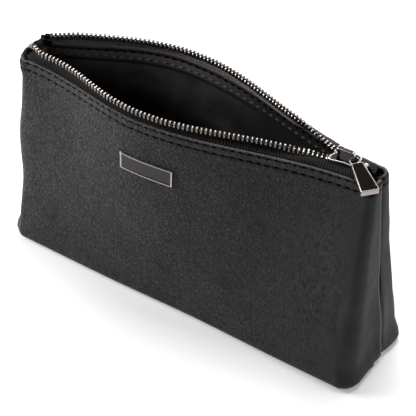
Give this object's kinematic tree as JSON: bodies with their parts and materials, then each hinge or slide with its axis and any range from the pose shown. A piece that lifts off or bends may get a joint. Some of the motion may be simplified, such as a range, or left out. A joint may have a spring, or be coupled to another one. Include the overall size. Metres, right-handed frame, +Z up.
{
  "type": "makeup bag",
  "caption": "Soft leather makeup bag with boxed base, standing open, with a metal zip, slider and flat pull along its mouth and a small blank plate on the front.",
  "frame": {"origin": "on the standing surface, under the middle of the bag's overall box", "axes": "+X along the mouth towards the slider, +Y towards the back wall, +Z up; the front wall faces -Y"},
  "size_m": [0.2229, 0.0627, 0.1302],
  "materials": {
    "leather": "fine pebbled grain, semi-matte",
    "lining": "smooth satin weave",
    "tape": "herringbone woven tape",
    "gunmetal": "polished dark plating"
  },
  "bodies": {
    "bag": {"front_panel": "leather", "back_panel": "leather", "front_lining": "lining", "back_lining": "lining", "front_zip_tape": "tape", "back_zip_tape": "tape", "front_teeth_row": "gunmetal", "back_teeth_row": "gunmetal", "front_top_stop": "gunmetal", "back_top_stop": "gunmetal", "bottom_stop": "gunmetal", "front_plate": "gunmetal"},
    "slider": {"slider_body": "gunmetal"},
    "pull": {"pull_tab": "gunmetal"}
  },
  "joints": [
    {"name": "slider_travel", "type": "slide", "parent": "bag", "child": "slider", "axis": [1, 0, 0], "range_m": [-0.0012, 0.0006]},
    {"name": "pull_swing", "type": "hinge", "parent": "slider", "child": "pull", "pos_m": [0.0847, 0.004, 0.128], "axis": [-0.6691, -0.7431, 0], "range_deg": [0, 110]}
  ]
}
